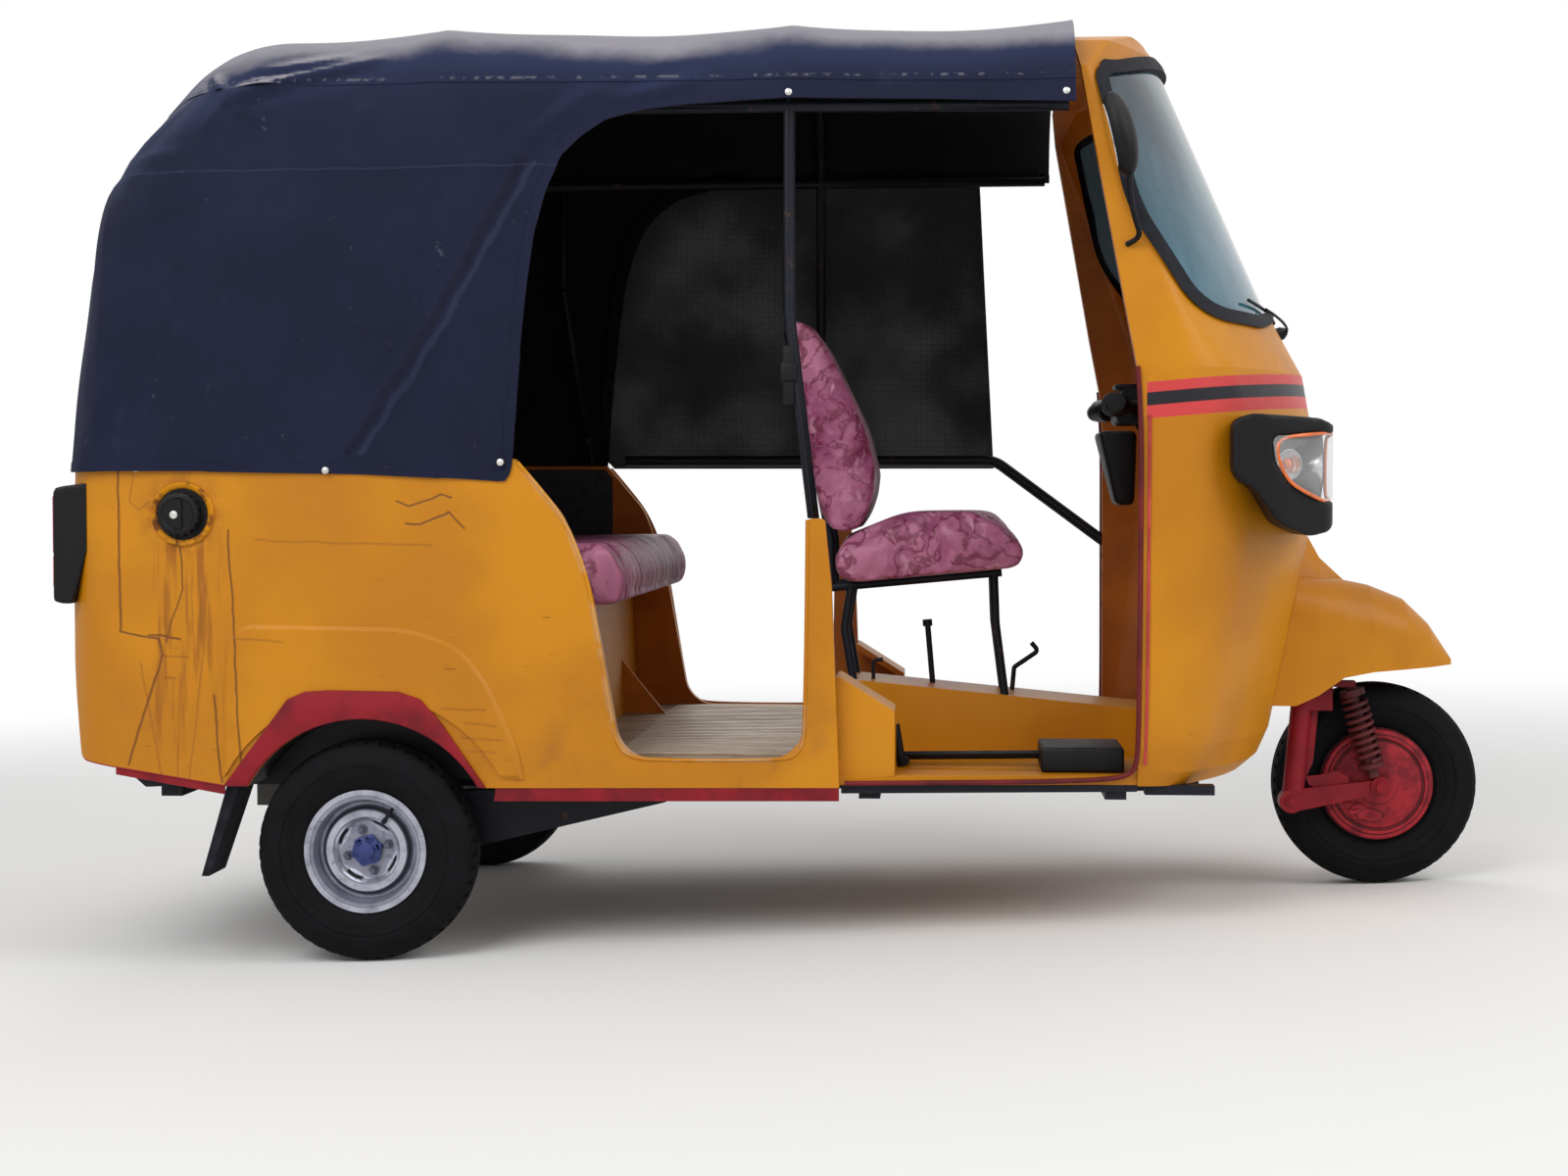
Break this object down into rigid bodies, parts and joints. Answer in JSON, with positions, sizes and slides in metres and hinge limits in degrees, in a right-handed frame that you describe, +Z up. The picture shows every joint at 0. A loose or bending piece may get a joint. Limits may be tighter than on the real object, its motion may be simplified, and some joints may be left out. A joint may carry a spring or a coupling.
{
  "type": "auto rickshaw",
  "caption": "Three-wheeled passenger auto rickshaw with a cloth hood over a tube frame, wrap-round windscreen, single-leg front fork and rear engine bay",
  "frame": {"origin": "middle of the vehicle's length on the floor, in its plane of symmetry", "axes": "+X forward, +Y to the vehicle's left, +Z up"},
  "size_m": [2.7544, 1.4, 1.7835],
  "materials": {
    "body_paint": "worn gloss",
    "red_paint": "worn gloss",
    "floor_metal": "scuffed",
    "rubber_trim": "matt",
    "glass": "clear",
    "lamp_glass": "clear",
    "black_plastic": "textured",
    "frame_paint": "satin",
    "tyre": "worn",
    "wheel_silver": "silver",
    "cast_metal": "cast",
    "hood_cloth": "coated cloth",
    "mesh_cloth": "open mesh",
    "seat_vinyl": "marbled vinyl"
  },
  "bodies": {
    "body": {"body_tub": "body_paint", "arch_flares": "red_paint", "inner_panels": "body_paint", "passenger_floor": "floor_metal", "seat_box": "body_paint", "driver_floor": "body_paint", "cab_shell": "body_paint", "screen_seal": "rubber_trim", "windscreen": "glass", "front_fender": "body_paint", "headlamp_pods": "black_plastic", "headlamp_lenses": "lamp_glass", "steering_head": "frame_paint", "rear_arms": "frame_paint", "engine_block": "cast_metal", "drive_shafts": "cast_metal", "underframe": "frame_paint", "hood": "hood_cloth", "tube_frame": "frame_paint", "side_curtain": "mesh_cloth", "side_rail": "frame_paint", "bench": "seat_vinyl", "bench_back": "seat_vinyl", "driver_cushion": "seat_vinyl", "driver_backrest": "seat_vinyl", "seat_frame": "frame_paint", "fuel_cap": "black_plastic", "tail_lamps": "black_plastic", "mud_flaps": "rubber_trim", "mirrors": "black_plastic", "plate_bracket": "frame_paint", "levers": "frame_paint"},
    "steering": {"steering_column": "frame_paint", "handlebar": "black_plastic", "front_fork": "red_paint", "front_link": "red_paint", "brake_plate": "red_paint", "spring_damper": "red_paint"},
    "front_wheel": {"front_tyre": "tyre", "front_rim": "wheel_silver"},
    "rear_wheel_right": {"rear_tyre_right": "tyre", "rear_rim_right": "wheel_silver"},
    "rear_wheel_left": {"rear_tyre_left": "tyre", "rear_rim_left": "wheel_silver"},
    "engine_lid": {"tail_lid": "body_paint"}
  },
  "joints": [
    {"name": "steering_turn", "type": "hinge", "parent": "body", "child": "steering", "pos_m": [1.00132, 0, 0.42317], "axis": [-0.4675, 0, 0.884], "range_deg": [-35, 35]},
    {"name": "front_wheel_spin", "type": "hinge", "parent": "steering", "child": "front_wheel", "pos_m": [1.16343, 0, 0.2075], "axis": [0, 1, 0], "continuous": true},
    {"name": "rear_wheel_right_spin", "type": "hinge", "parent": "body", "child": "rear_wheel_right", "pos_m": [-0.80293, -0.6, 0.2075], "axis": [0, 1, 0], "continuous": true},
    {"name": "rear_wheel_left_spin", "type": "hinge", "parent": "body", "child": "rear_wheel_left", "pos_m": [-0.80293, 0.6, 0.2075], "axis": [0, 1, 0], "continuous": true},
    {"name": "engine_lid_lift", "type": "hinge", "parent": "body", "child": "engine_lid", "pos_m": [-1.35156, 0, 0.8338], "axis": [0, 1, 0], "range_deg": [0, 75]}
  ]
}
